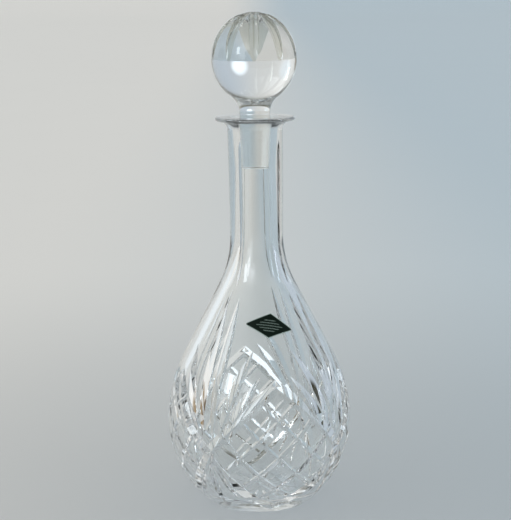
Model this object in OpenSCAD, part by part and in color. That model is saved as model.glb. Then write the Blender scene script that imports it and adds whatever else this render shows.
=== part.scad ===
// Wine decanter in cut glass: a pear-shaped bottle with a flared rim and a
// ground mouth, a solid ball stopper with a ground peg, and a small lozenge
// label on one shoulder. The origin is the centre of the foot, +Z runs up the
// neck and the middle of one cut panel, with the label above it, faces -Y.

/* [Bottle] */
// Diameter of the flat foot
foot_d = 68; // [56:1:82]
// Diameter at the widest ring
belly_d = 127.2; // [106:0.2:153]
// Height of the widest ring above the foot
belly_z = 59; // [49:1:71]
// Radius of the upper curve of the belly, seen from the side
shoulder_r = 98; // [81:1:118]
// Lean of the straight shoulder from upright, in degrees
shoulder_lean = 27.5; // [24:0.5:33]
// Radius of the sweep from the shoulder into the neck
sweep_r = 75; // [62:1:90]
// Outer diameter at the foot of the neck
neck_d = 36.4; // [33:0.2:44]
// Length of the neck from the end of the sweep to the rim's underside
neck_len = 77.6; // [65:0.5:94]
// Widening of the neck towards the rim, in degrees
neck_flare = 0.6; // [0:0.1:1]

/* [Rim] */
// Diameter of the rim
rim_d = 54.4; // [50:0.2:65]
// Thickness of the rim
rim_t = 2.6; // [2:0.1:3.2]
// Radius of the hollow curve under the rim
rim_curve = 6.5; // [4:0.5:7.5]
// Height of the rounded mouth above the ground socket
mouth_h = 9.8; // [8:0.2:12]

/* [Inside] */
// Wall of the belly and shoulder
wall = 6.5; // [5.4:0.1:7.8]
// Thickness of the bottom
floor_t = 11; // [9:0.5:13.5]
// Radius of the inner corner between floor and wall
floor_r = 9; // [6:0.5:12]
// Diameter of the bore where the sweep ends
bore_d = 20.6; // [18:0.2:24]

/* [Ground joint] */
// Diameter of the ground socket at its mouth
socket_d = 21.2; // [20:0.1:25.5]
// Length of the ground socket
socket_len = 25; // [20:1:30]
// Taper of the socket and the peg: length for one millimetre of diameter
taper = 10; // [8:1:12]
// Radial clearance between the peg and the socket
joint_gap = 0.05; // [0.03:0.01:0.08]

/* [Stopper] */
// Diameter of the ball
ball_d = 58; // [48:1:70]
// Extra height of the ball over its diameter
ball_extra = 4.4; // [3.6:0.2:6]
// Height of the straight collar between the rim and the waist
collar_h = 3.1; // [2:0.1:5]
// Diameter where the waist runs into the ball
waist_top_d = 29.6; // [27:0.2:35]
// Height of the waist
waist_h = 9.5; // [8:0.5:11.5]
// Length of the bare peg below the socket's foot
peg_extra = 0; // [0:0.5:4]

/* [Cutting] */
// Opening angle of the sharp cuts
mitre_angle = 110; // [100:2:120]
// Depth of the cuts that frame the panels
frame_depth = 2.9; // [2.3:0.1:3.5]
// Depth of the lattice inside the panels
lattice_depth = 1.3; // [1:0.1:1.6]
// Depth of the leaves of the fans
leaf_depth = 2.7; // [2.2:0.1:3.2]
// Depth of the short leaves under the corners
skirt_depth = 2.2; // [1.8:0.1:2.6]
// Depth of the grooves on the neck
groove_depth = 1; // [0.8:0.1:1.2]
// Depth of the rays of the star under the foot
star_depth = 1.1; // [0.9:0.1:1.3]
// Number of panels round the belly
panels = 4; // [4]
// Number of lattice cells along a panel's side
cells = 4; // [3:1:5]
// Number of flutes on the ball
flutes = 10; // [8:1:12]
// Depth of the flutes on the ball
flute_depth = 1.5; // [1.2:0.1:1.8]
// Radius of the round wheel that cuts the flutes
flute_r = 6.5; // [5.5:0.5:7.5]
// Number of rays in the star under the foot
star_rays = 16; // [12:1:18]

/* [Label] */
// Length of the lozenge, corner to corner
label_l = 33.5; // [28:0.5:36]
// Width of the lozenge, corner to corner
label_w = 17.5; // [14.5:0.5:20]
// Thickness of the label
label_t = 0.3; // [0.25:0.05:0.4]
// Radius of the label's corners
label_corner = 1.2; // [1:0.1:2]
// Tilt of the label, right end down, in degrees
label_tilt = 11; // [0:1:14]
// Height of the label's middle above the start of the straight shoulder
label_up = 27.5; // [23:0.5:30]

/* [Hidden] */
$fn = 96;
proud = 2.4;         // how far a cutter stands out of the glass
tiny = 0.01;
bite = 0.003;        // how far curves that touch are pushed through each other
lap = 2;             // how far they then run on past the place

foot_r = foot_d / 2;
belly_r = belly_d / 2;
neck_r = neck_d / 2;
rim_r = rim_d / 2;
lean = shoulder_lean;
mitre_half = mitre_angle / 2;

function fine(x) = round(x * 1000) / 1000;

// The lower belly is the arc through the foot's edge and the widest ring
under = belly_r - foot_r;
low_r = fine((under * under + belly_z * belly_z) / (2 * under));
low_c = belly_r - low_r;
up_c = belly_r - shoulder_r;

// Start of the straight shoulder
cone_r = up_c + shoulder_r * cos(lean);
cone_z = belly_z + shoulder_r * sin(lean);

// A sweep is [centre r, centre z, radius, start r, start z, end r, end z]:
// it leaves a cone with the shoulder's lean and ends with the lean last
function sweep(start_r, start_z, radius, end_r, last) =
    let (c = end_r + radius * cos(last),
         r1 = c - radius * cos(lean),
         z1 = start_z + (start_r - r1) / tan(lean),
         cz = z1 + radius * sin(lean))
    [fine(c), fine(cz), radius, fine(r1), fine(z1), end_r, fine(cz - radius * sin(last))];

outer = sweep(cone_r, cone_z, sweep_r, neck_r, -neck_flare);
rim_low = outer[6] + neck_len;
rim_z = rim_low + rim_t;
neck_top_r = neck_r + (neck_len - rim_curve) * tan(neck_flare);

socket_top = rim_z - mouth_h;
mouth_r = mouth_h * 1.1;
socket_low = socket_top - socket_len;
socket_r = socket_d / 2;
socket_low_r = socket_r - socket_len / taper / 2;

// The bore widens downwards from the socket's foot to the sweep
in_cone_r = cone_r - wall * cos(lean);
in_cone_z = cone_z - wall * sin(lean);
bore_r = bore_d / 2;
bore_lean = atan((bore_r - socket_low_r) / (socket_low - outer[6]));
inner = sweep(in_cone_r, in_cone_z, sweep_r + wall, bore_r, bore_lean);

// Distances over the glass, measured up from the widest ring
rad = 180 / PI;
cone_s = shoulder_r * lean / rad;
sweep_s = cone_s + (outer[4] - cone_z) / cos(lean);
foot_s = -low_r * asin(belly_z / low_r) / rad;

// The panels: lozenges between the foot and the straight shoulder
pitch = 360 / panels;
panel_top = cone_s - 11.5;
panel_low = foot_s + 10.5;
panel_mid = (panel_top + panel_low) / 2;
frame_half = frame_depth * tan(mitre_half);
corner_run = frame_half * 0.8;

// Leaves of a fan on one side of its middle: azimuth and share of the way
// from the panel's corner to the sweep, at the leaf's start and at its tip
fan = [[[3.4, 0.07], [8.5, 0.96]],
       [[6.5, 0.08], [29.4, 0.635]],
       [[10, 0.085], [34.5, 0.47]]];
// The same for the short leaves that hang from the corner to the foot
skirt = [[[5, 0.12], [15.5, 0.62]]];
skirt_middle = [[0, 0.08], [0, 0.78]];
up = sweep_s - panel_mid;
down = foot_s - panel_mid;
leaves = [for (leaf = fan) [[-1, 1], up, leaf, leaf_depth],
          for (leaf = skirt) [[-1, 1], down, leaf, skirt_depth],
          [[1], down, skirt_middle, skirt_depth]];

// Stopper
peg_r = socket_r - joint_gap;
ball_r = ball_d / 2;
ball_b = ball_r + ball_extra / 2;
ball_end_r = ball_r - 2;
ball_side_r = (ball_r * ball_r + pow(ball_b - ball_end_r, 2) - ball_end_r * ball_end_r) / (2 * (ball_r - ball_end_r));
waist_top_r = waist_top_d / 2;
waist_z = rim_z + collar_h;
waist_curve = (pow(waist_top_r - peg_r, 2) + waist_h * waist_h) / (2 * (waist_top_r - peg_r));
ball_drop = ball_b - ball_end_r + sqrt(ball_end_r * ball_end_r - waist_top_r * waist_top_r);
ball_z = waist_z + waist_h + ball_drop;
flute_turn = -11.7;
flute_over = 5;       // how far the wheel runs on past both ends, in degrees
flute_from = 12;      // where a flute starts, in degrees from the top of the ball

function unit(v) = v / norm(v);
function polar(r, a, z) = [r * sin(a), -r * cos(a), z];

// Point of the belly or shoulder at azimuth a, distance s over the glass and
// depth d under its surface
function skin(a, s, d = 0) =
    s < 0 ? let (t = s / low_r * rad) polar(low_c + (low_r - d) * cos(t), a, belly_z + (low_r - d) * sin(t)) :
    s < cone_s ? let (t = s / shoulder_r * rad)
        polar(up_c + (shoulder_r - d) * cos(t), a, belly_z + (shoulder_r - d) * sin(t)) :
    polar(cone_r - (s - cone_s) * sin(lean) - d * cos(lean), a, cone_z + (s - cone_s) * cos(lean) - d * sin(lean));

// Lean of the outward normal at the foot of the perpendicular from (r, z)
function face_lean(r, z) =
    z < belly_z ? atan2(z - belly_z, r - low_c) : min(lean, atan2(z - belly_z, r - up_c));

// Point at depth d under the glass that is nearest to p, and the normal there
function settle(p, d) =
    let (r = norm([p.x, p.y]), a = atan2(p.x, -p.y), t = face_lean(r, p.z),
         gap = p.z < belly_z ? low_r - norm([r - low_c, p.z - belly_z]) :
               t < lean ? shoulder_r - norm([r - up_c, p.z - belly_z]) :
               (cone_r - r) * cos(lean) + (cone_z - p.z) * sin(lean),
         move = gap - d)
    polar(r + move * cos(t), a, p.z + move * sin(t));
function face(p) =
    let (a = atan2(p.x, -p.y), t = face_lean(norm([p.x, p.y]), p.z)) polar(cos(t), a, sin(t));

// Centre of the circle through three points
function ring_centre(a, m, b) =
    let (u = m - a, v = b - a, n = cross(u, v))
    a + (cross(n, u) * (v * v) + cross(v, n) * (u * u)) / (2 * (n * n));

// A cutter whose root runs along the arc a, m, b and that opens along out to
// the given height. Its section is a sharp mitre, or round with radius round
module ring_cut(a, m, b, out, height, round = 0, over = 0) {
    c = ring_centre(a, m, b);
    r = norm(m - c);
    ex = unit(a - c);
    ez = unit(cross(a - c, b - c));
    ey = cross(ez, ex);
    turn = acos(max(-1, min(1, ex * unit(b - c))));
    side = (m - c) * out > 0 ? 1 : -1;
    half = height * tan(mitre_half);
    multmatrix([[ex.x, ey.x, ez.x, c.x], [ex.y, ey.y, ez.y, c.y], [ex.z, ey.z, ez.z, c.z]])
        rotate([0, 0, -over]) rotate_extrude(angle = turn + 2 * over, $fn = 2 * $fn)
            if (round > 0) translate([r + side * round, 0]) circle(r = round, $fn = 48);
            else polygon([[r, 0], [r + side * height, half], [r + side * height, -half]]);
}

// A cut over the belly from one place to another, each given as azimuth,
// distance over the glass and depth, with its deepest point half way
module belly_cut(from, to, depth) {
    a = skin(from[0], from[1], from[2]);
    b = skin(to[0], to[1], to[2]);
    m = settle((a + b) / 2, depth);
    ring_cut(a, m, b, face(m), depth + proud);
}

// One side of a panel's frame, from its corner up or down to its apex
module frame_side(side, apex) {
    rise = apex - panel_mid;
    run = corner_run / norm([pitch / 2 / rad * belly_r, rise]);
    belly_cut([side * pitch / 2 * (1 + run), panel_mid - run * rise, frame_depth],
              [-side * pitch / 2 * run, apex + run * rise, frame_depth], frame_depth);
}

// Lines of the lattice that climb towards side
module lattice(side) {
    high = (panel_top - panel_low) / 2;
    for (i = [1 : cells - 1]) {
        step = i / cells;
        belly_cut([side * pitch / 2 * (step - 1), panel_mid - high * step, lattice_depth],
                  [side * pitch / 2 * step, panel_mid + high * (1 - step), lattice_depth], lattice_depth);
    }
}

module leaf_cuts(leaf)
    for (side = leaf[0])
        belly_cut([side * leaf[2][0][0], panel_mid + leaf[1] * leaf[2][0][1], 0],
                  [side * leaf[2][1][0], panel_mid + leaf[1] * leaf[2][1][1], 0], leaf[3]);

// Point of the sweep where the glass leans by t, at depth d
function sweep_point(t, d) = polar(outer[0] - (sweep_r + d) * cos(t), 0, outer[1] - (sweep_r + d) * sin(t));

// Upright groove on the neck: it fades in on the sweep, runs straight and
// ends in the round of the cutting wheel
module groove_start()
    ring_cut(sweep_point(lean - 1.5, 0), sweep_point(lean / 2, groove_depth), sweep_point(-neck_flare, groove_depth),
             [0, -1, 0], groove_depth + proud);
module groove_straight() {
    height = groove_depth + proud;
    half = height * tan(mitre_half);
    straight = neck_len - rim_curve - 12;
    wheel = 20;
    translate(sweep_point(-neck_flare, groove_depth)) rotate([neck_flare, 0, 0]) translate([0, 0, -tiny]) {
        linear_extrude(straight + tiny) polygon([[0, 0], [half, -height], [-half, -height]]);
        translate([0, -wheel, straight]) rotate([0, 90, 0]) rotate([0, 0, -90])
            rotate_extrude(angle = 90) polygon([[wheel - height, -half], [wheel, 0], [wheel - height, half]]);
    }
}

// Ray of the star under the foot
module star_ray() {
    near = foot_r * 0.2;
    far = foot_r * 0.9;
    ring_cut([0, -near, 0], [0, -(near + far) / 2, star_depth], [0, -far, 0], [0, 0, -1], star_depth + proud);
}

// Upright slice of the half plane between two heights
module band(z1, z2) translate([0, z1]) square([belly_d, z2 - z1]);

// Half section of a pear: two belly arcs, the cone, the sweep and the neck,
// drawn inside the glass surface by inset. Each piece bites a little into the
// one before, so that the two curves cross where they would only touch
module pear(low_z, inset, line, top_r, top_z) {
    intersection() {
        translate([low_c, belly_z]) circle(low_r - inset);
        band(low_z, belly_z);
    }
    intersection() {
        translate([up_c, belly_z]) circle(shoulder_r - inset);
        band(belly_z, belly_z + (shoulder_r - inset) * sin(lean) + lap);
    }
    cone_from = [up_c, belly_z] + (shoulder_r - inset - bite) * [cos(lean), sin(lean)];
    cone_to = [line[3] - lap * tan(lean), line[4] + lap] - bite * [cos(lean), sin(lean)];
    polygon([[0, cone_from.y], cone_from, cone_to, [0, cone_to.y]]);
    difference() {
        polygon([[0, line[4]], [line[3], line[4]], [line[3], line[6]], [0, line[6]]]);
        translate([line[0], line[1]]) circle(line[2] + 2 * bite);
    }
    under_r = line[5] - lap * (top_r - line[5]) / (top_z - line[6]);
    polygon([[0, line[6] - lap], [under_r, line[6] - lap], [top_r, top_z], [0, top_z]]);
}

// Half section of the flared rim
module rim_section() {
    low = rim_low - rim_curve;
    difference() {
        translate([0, low]) square([neck_top_r + rim_curve, rim_curve]);
        translate([neck_top_r + rim_curve, low]) circle(rim_curve + bite);
    }
    translate([0, rim_low]) square([rim_r - rim_t / 2, rim_t]);
    translate([rim_r - rim_t / 2, rim_low + rim_t / 2]) circle(rim_t / 2);
}

// Half section of the hollow: belly with a rounded floor corner, sweep, bore,
// ground socket and rounded mouth
module hollow_section() {
    corner_z = floor_t + floor_r;
    side = low_r - wall - floor_r;
    corner_r = low_c + sqrt(side * side - pow(belly_z - corner_z, 2));
    touch = atan2(corner_z - belly_z, corner_r - low_c);
    touch_z = fine(corner_z + floor_r * sin(touch));
    pear(touch_z, wall, inner, socket_low_r, socket_low);
    intersection() {
        translate([corner_r, corner_z]) circle(floor_r + bite);
        translate([corner_r, floor_t]) square([floor_r + 1, touch_z - floor_t + 1]);
    }
    translate([0, floor_t]) square([corner_r, touch_z - floor_t]);
    polygon([[0, socket_low], [socket_low_r, socket_low],
             [socket_r + lap / taper / 2, socket_top + lap], [0, socket_top + lap]]);
    difference() {
        translate([0, socket_top]) square([socket_r + mouth_r, mouth_h + 0.5]);
        translate([socket_r + mouth_r, socket_top]) circle(mouth_r);
    }
}

module blank() rotate_extrude() difference() {
    union() {
        pear(0, 0, outer, neck_top_r + tan(neck_flare), rim_low - rim_curve + 1);
        rim_section();
    }
    hollow_section();
}

// The cuts in the order in which they are made: the lattice, the frames of
// the panels, the leaves of the fans and then the grooves of the neck
module cut_of_panel(step) {
    if (step < 2) lattice(2 * step - 1);
    else if (step < 4) frame_side(2 * step - 5, panel_top);
    else if (step < 6) frame_side(2 * step - 9, panel_low);
    else rotate([0, 0, pitch / 2]) {
        if (step < 6 + len(leaves)) leaf_cuts(leaves[step - 6]);
        else if (step == 6 + len(leaves)) groove_start();
        else groove_straight();
    }
}
last_step = 7 + len(leaves);

module carved(step) {
    if (step < 0) blank();
    else difference() {
        carved(step - 1);
        for (i = [0 : panels - 1]) rotate([0, 0, i * pitch]) cut_of_panel(step);
    }
}

module decanter_body() {
    color([0.82, 0.87, 0.88, 0.6])
        difference() {
            carved(last_step);
            for (i = [0 : star_rays - 1]) rotate([0, 0, i * 360 / star_rays]) star_ray();
        }
}

// Point of the ball at angle t from its top, at depth d
function ball_point(t, d) =
    let (p = [sin(t) * ball_r, cos(t) * ball_b], q = p * (1 - d / norm(p))) [0, -q.x, ball_z + q.y];

module flute() {
    m = ball_point((flute_from + 90) / 2, flute_depth);
    ring_cut(ball_point(flute_from, 0), m, ball_point(90, 0), m - [0, 0, ball_z], 0, flute_r, flute_over);
}

// Half section of the upper half of the ball
module ball_half() {
    side_c = ball_r - ball_side_r;
    end_c = ball_b - ball_end_r;
    meet = ball_side_r * end_c / norm([side_c, end_c]);
    intersection() {
        translate([side_c, 0]) circle(ball_side_r);
        square([ball_r, meet]);
    }
    intersection() {
        translate([0, end_c]) circle(ball_end_r);
        translate([0, meet]) square([ball_r, ball_b - meet]);
    }
}

module stopper_blank() {
    peg_low = socket_low - peg_extra;
    peg_low_r = peg_r - (socket_len + peg_extra) / taper / 2;
    seam = flute_turn + 180 / flutes - 90; // between two flutes
    rotate([0, 0, seam]) rotate_extrude() {
        polygon([[0, peg_low], [peg_low_r, peg_low], [peg_r, socket_top], [peg_r, waist_z], [0, waist_z]]);
        difference() {
            translate([0, waist_z]) square([waist_top_r, waist_h]);
            translate([peg_r + waist_curve, waist_z]) circle(waist_curve);
        }
        translate([0, ball_z]) {
            ball_half();
            mirror([0, 1]) ball_half();
        }
    }
}

module fluted(count) {
    if (count == 0) stopper_blank();
    else difference() {
        fluted(count - 1);
        rotate([0, 0, flute_turn + count * 360 / flutes]) flute();
    }
}

module stopper() {
    color([0.88, 0.92, 0.94, 0.6]) fluted(flutes);
}

// Lozenge with rounded corners, long side along X
module lozenge() {
    slant = atan2(label_w, label_l);
    steps = 6;
    corners = [[label_l / 2 - label_corner / sin(slant), 0, 90 - slant],
               [0, label_w / 2 - label_corner / cos(slant), slant],
               [label_corner / sin(slant) - label_l / 2, 0, 90 - slant],
               [0, label_corner / cos(slant) - label_w / 2, slant]];
    polygon([for (i = [0 : 3], k = [-steps : steps])
        let (turn = i * 90 + k / steps * corners[i][2])
        [corners[i].x, corners[i].y] + label_corner * [cos(turn), sin(turn)]]);
}

// A thin shell on the straight shoulder, trimmed to the lozenge
module label() {
    reach = [label_l * sin(label_tilt) + label_w, 0];
    low = [cone_r + tiny, cone_z];
    high = [outer[3] + tiny, outer[4]];
    out = label_t * [cos(lean), sin(lean)];
    middle_z = cone_z + label_up;
    middle_r = cone_r - label_up * tan(lean);
    color([0.05, 0.16, 0.12])
        intersection() {
            rotate_extrude() polygon([low, low + out, high + out, high]);
            translate([0, -middle_r, middle_z]) rotate([90 - lean, 0, 0]) rotate([0, 0, -label_tilt])
                translate([0, 0, -middle_r * 0.4]) linear_extrude(middle_r * 0.4 + reach.x) lozenge();
        }
}

decanter_body();
stopper();
label();
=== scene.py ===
# Cut-glass wine decanter with its ball stopper and shoulder label, on a pale studio sweep
import bpy
import math
import numpy as np
from mathutils import Matrix, Vector, kdtree


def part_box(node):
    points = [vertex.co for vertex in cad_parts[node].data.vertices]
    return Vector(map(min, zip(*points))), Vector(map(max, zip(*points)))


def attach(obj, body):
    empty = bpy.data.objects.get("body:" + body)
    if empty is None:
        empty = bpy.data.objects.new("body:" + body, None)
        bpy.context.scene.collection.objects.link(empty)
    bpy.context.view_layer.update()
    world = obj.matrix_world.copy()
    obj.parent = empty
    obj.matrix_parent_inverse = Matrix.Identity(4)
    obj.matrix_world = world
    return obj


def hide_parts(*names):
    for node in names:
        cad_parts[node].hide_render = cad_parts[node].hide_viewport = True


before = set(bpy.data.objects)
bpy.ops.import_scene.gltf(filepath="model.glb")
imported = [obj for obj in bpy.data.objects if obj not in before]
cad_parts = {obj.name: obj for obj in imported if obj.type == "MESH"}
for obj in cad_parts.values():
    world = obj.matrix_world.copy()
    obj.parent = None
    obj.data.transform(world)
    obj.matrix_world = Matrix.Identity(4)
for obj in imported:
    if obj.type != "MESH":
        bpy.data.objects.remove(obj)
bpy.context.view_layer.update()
mm = 0.001
scene = bpy.context.scene


def boxOf(node):         # lowest and highest corner in millimetres
    return [[v / mm for v in corner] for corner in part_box(node)]


def sinDeg(a): return math.sin(math.radians(a))


def cosDeg(a): return math.cos(math.radians(a))


def tanDeg(a): return math.tan(math.radians(a))


def unit(v): return v / np.linalg.norm(v)


# Sections are lists of lines and arcs, radius first and height second. They run so that the
# glass is on the left, which makes the right-hand side the outward normal.
def line(a, b):
    return {"kind": "line", "a": a, "b": b}


def arc(centre, radius, start, end):
    return {"kind": "arc", "centre": centre, "radius": radius, "start": start, "end": end}


def pointOn(part, t):
    if part["kind"] == "line":
        return tuple(p + (q - p) * t for p, q in zip(part["a"], part["b"]))
    a = part["start"] + (part["end"] - part["start"]) * t
    return (part["centre"][0] + part["radius"] * cosDeg(a), part["centre"][1] + part["radius"] * sinDeg(a))


def normalOn(part, r, z):
    if part["kind"] == "line":
        dr, dz = (q - p for p, q in zip(part["a"], part["b"]))
        dr, dz = dz, -dr
    else:
        way = 1 if part["end"] > part["start"] else -1
        dr, dz = way * (r - part["centre"][0]), way * (z - part["centre"][1])
    size = math.hypot(dr, dz) or 1
    return dr / size, dz / size


def lengthOf(part):
    if part["kind"] == "line":
        return math.dist(part["a"], part["b"])
    return part["radius"] * math.radians(abs(part["end"] - part["start"]))


def ease(before, after, radius):
    # shortens two parts that meet at a corner and returns the small arc between them
    corner = pointOn(before, 1)
    d1 = unit(np.array(corner) - pointOn(before, 0.98))
    d2 = unit(np.array(pointOn(after, 0.02)) - corner)
    turn = math.degrees(math.atan2(d1[0] * d2[1] - d1[1] * d2[0], d1 @ d2))
    cut = radius * abs(tanDeg(turn / 2))
    for part, end in ((before, 1), (after, 0)):
        share = cut / lengthOf(part)
        if part["kind"] == "line":
            key = "b" if end else "a"
            part[key] = pointOn(part, 1 - share if end else share)
        else:
            key, other = ("end", "start") if end else ("start", "end")
            part[key] += (part[other] - part[key]) * share
    a, b = np.array(pointOn(before, 1)), np.array(pointOn(after, 0))
    way = 1 if turn > 0 else -1
    middle = a + way * radius * np.array([-d1[1], d1[0]])
    start = math.degrees(math.atan2(*(a - middle)[::-1]))
    return arc(tuple(middle), radius, start, start + turn)


def sweepOf(startR, startZ, radius, endR, lean, last):
    c = endR + radius * cosDeg(last)
    r1 = c - radius * cosDeg(lean)
    z1 = startZ + (startR - r1) / tanDeg(lean)
    cz = z1 + radius * sinDeg(lean)
    return {"centre": (c, cz), "radius": radius, "from": (r1, z1), "to": (endR, cz - radius * sinDeg(last))}


# Points along a section and the part each belongs to; a corner is kept as one shared point
def sampled(parts, step, turn):
    points = []
    for i, part in enumerate(parts):
        n = math.ceil(lengthOf(part) / step)
        if part["kind"] == "arc":
            n = max(n, math.ceil(abs(part["end"] - part["start"]) / turn))
        points += [(*pointOn(part, k / n), i) for k in range(n)]
    return points + [(*pointOn(parts[-1], 1), len(parts) - 1)]


def socketNamed(tree, name, way="INPUT"):
    return next(s.identifier for s in tree.interface.items_tree if s.name == name and s.in_out == way)


def newSockets(tree, sockets, way="INPUT"):
    for name, kind in sockets:
        tree.interface.new_socket(name=name, in_out=way, socket_type="NodeSocket" + kind)


# Lathe: turns the object's own line of points, radius along X and height against Y, round the Z axis
def latheTree():
    tree = bpy.data.node_groups.new("lathe", "GeometryNodeTree")
    newSockets(tree, [("Section", "Geometry"), ("Segments", "Int"), ("Hub", "Float"), ("Finish", "Material")])
    newSockets(tree, [("Turned", "Geometry")], "OUTPUT")
    add, link = tree.nodes.new, tree.links.new
    given, out = add("NodeGroupInput"), add("NodeGroupOutput")
    section = add("GeometryNodeMeshToCurve")
    link(given.outputs["Section"], section.inputs["Mesh"])
    ring = add("GeometryNodeCurvePrimitiveCircle")
    link(given.outputs["Segments"], ring.inputs["Resolution"])
    link(given.outputs["Hub"], ring.inputs["Radius"])
    upright = add("GeometryNodeSetCurveNormal")
    upright.mode = "Z_UP"
    link(ring.outputs["Curve"], upright.inputs["Curve"])
    turned = add("GeometryNodeCurveToMesh")
    link(upright.outputs["Curve"], turned.inputs["Curve"])
    link(section.outputs["Curve"], turned.inputs["Profile Curve"])
    merged = add("GeometryNodeMergeByDistance")
    merged.inputs["Distance"].default_value = 0.002 * mm
    link(turned.outputs["Mesh"], merged.inputs["Geometry"])
    whole = add("GeometryNodeRealizeInstances")
    link(merged.outputs["Geometry"], whole.inputs["Geometry"])
    finish = add("GeometryNodeSetMaterial")
    link(whole.outputs["Geometry"], finish.inputs["Geometry"])
    link(given.outputs["Finish"], finish.inputs["Material"])
    link(finish.outputs["Geometry"], out.inputs["Turned"])
    return tree


# Round the axis: repeats one cutting blade at even steps round the Z axis
def roundAxisTree():
    tree = bpy.data.node_groups.new("roundAxis", "GeometryNodeTree")
    newSockets(tree, [("Blade", "Geometry"), ("Count", "Int"), ("Step", "Float"), ("First Turn", "Float"),
                      ("Finish", "Material")])
    newSockets(tree, [("Blades", "Geometry")], "OUTPUT")
    add, link = tree.nodes.new, tree.links.new
    given, out = add("NodeGroupInput"), add("NodeGroupOutput")
    places = add("GeometryNodeMeshLine")
    places.inputs["Offset"].default_value = (0, 0, 0)
    link(given.outputs["Count"], places.inputs["Count"])
    angle = add("ShaderNodeMath")
    angle.operation = "MULTIPLY_ADD"
    link(add("GeometryNodeInputIndex").outputs["Index"], angle.inputs[0])
    link(given.outputs["Step"], angle.inputs[1])
    link(given.outputs["First Turn"], angle.inputs[2])
    turn = add("ShaderNodeCombineXYZ")
    link(angle.outputs["Value"], turn.inputs["Z"])
    copies = add("GeometryNodeInstanceOnPoints")
    link(places.outputs["Mesh"], copies.inputs["Points"])
    link(given.outputs["Blade"], copies.inputs["Instance"])
    link(turn.outputs["Vector"], copies.inputs["Rotation"])
    whole = add("GeometryNodeRealizeInstances")
    link(copies.outputs["Instances"], whole.inputs["Geometry"])
    finish = add("GeometryNodeSetMaterial")
    link(whole.outputs["Geometry"], finish.inputs["Geometry"])
    link(given.outputs["Finish"], finish.inputs["Material"])
    link(finish.outputs["Geometry"], out.inputs["Blades"])
    return tree


def meshObject(name, verts, edges, faces, scale=mm):
    mesh = bpy.data.meshes.new(name)
    mesh.from_pydata([tuple(float(c) * scale for c in v) for v in verts], edges, faces)
    mesh.update()
    obj = bpy.data.objects.new(name, mesh)
    scene.collection.objects.link(obj)
    return obj


# Runs a tree on an object and returns the result as a plain mesh object
def grown(obj, tree, inputs, name):
    mod = obj.modifiers.new("tree", "NODES")
    mod.node_group = tree
    for key, value in inputs.items():
        mod[socketNamed(tree, key)] = value
    mesh = bpy.data.meshes.new_from_object(obj.evaluated_get(bpy.context.evaluated_depsgraph_get()))
    bpy.data.objects.remove(obj)
    mesh.name = name
    result = bpy.data.objects.new(name, mesh)
    scene.collection.objects.link(result)
    return result


# Cuts the blades out of the glass; the new faces keep the blades' material
def carve(glass, blades):
    mod = glass.modifiers.new("carve", "BOOLEAN")
    mod.operation, mod.solver, mod.object = "DIFFERENCE", "MANIFOLD", blades
    mod.material_mode = "TRANSFER"
    mesh = bpy.data.meshes.new_from_object(glass.evaluated_get(bpy.context.evaluated_depsgraph_get()))
    glass.modifiers.clear()
    old, glass.data = glass.data, mesh
    bpy.data.meshes.remove(old)
    bpy.data.objects.remove(blades)


# A blade that runs along root points; each has an outward and a sideways direction. The section
# is a list of points (sideways, outwards) that closes on itself.
def blade(runs, section):
    verts, faces = [], []
    for roots in runs:
        base, n = len(verts), len(section)
        for i, (p, out) in enumerate(roots):
            ahead = roots[min(i + 1, len(roots) - 1)][0] - roots[max(i - 1, 0)][0]
            side = unit(np.cross(unit(ahead), out))
            verts += [p + side * u + out * v for u, v in section]
        for i in range(len(roots) - 1):
            a, b = base + i * n, base + (i + 1) * n
            faces += [(b + k, b + (k + 1) % n, a + (k + 1) % n, a + k) for k in range(n)]
        faces += [tuple(base + k for k in range(n))]
        faces += [tuple(base + (len(roots) - 1) * n + k for k in reversed(range(n)))]
    obj = meshObject("blade", verts, [], faces)
    if volume(obj.data) < 0:
        obj.data.flip_normals()
    return obj


def mitre(depth):
    high = depth + cuts["proud"]
    half = high * tanDeg(cuts["mitreHalf"])
    return [(0, 0), (half, high), (-half, high)]


def wheelSection(radius, points=40):
    angles = [k * 360 / points for k in range(points)]
    return [(radius * sinDeg(a), radius * (1 - cosDeg(a))) for a in angles]


# Exact normals on the turned skin, averaged ones on the cut faces up to a sharp edge
def setNormals(glass, parts, sharpAngle, step=0.4):
    mesh = glass.data
    mesh.shade_smooth()
    mesh.set_sharp_from_angle(angle=math.radians(sharpAngle))
    places = [(*pointOn(part, (k + 0.5) / n), i) for i, part in enumerate(parts)
              for n in [max(4, math.ceil(lengthOf(part) / step))] for k in range(n)]
    tree = kdtree.KDTree(len(places))
    for k, (r, z, i) in enumerate(places):
        tree.insert((r, z, 0), k)
    tree.balance()
    normals = np.empty(len(mesh.loops) * 3, np.float32)
    mesh.corner_normals.foreach_get("vector", normals)
    normals = normals.reshape(-1, 3)
    spots = [v.co / mm for v in mesh.vertices]
    for face in mesh.polygons:
        if face.material_index:
            continue
        middle = face.center / mm
        part = parts[places[tree.find((math.hypot(middle.x, middle.y), middle.z, 0))[1]][2]]
        for corner in face.loop_indices:
            p = spots[mesh.loops[corner].vertex_index]
            r = math.hypot(p.x, p.y)
            out, up = normalOn(part, r, p.z)
            x, y = (p.x / r, p.y / r) if r > 0.01 else (0, 0)
            normals[corner] = (out * x, out * y, up)
    mesh.normals_split_custom_set(normals.tolist())


def turned(name, parts, segments, finish, step=3, turn=2.5):
    points = sampled(parts, step, turn)
    hub = 0.02                  # radius of the lathe's ring, taken off each point again
    edges = [(k, k + 1) for k in range(len(points) - 1)]
    section = meshObject(name, [(r - hub, -z, 0) for r, z, i in points], edges, [])
    obj = grown(section, lathe, {"Segments": segments, "Hub": hub * mm, "Finish": finish}, name)
    if volume(obj.data) < 0:
        obj.data.flip_normals()
    return obj


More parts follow.
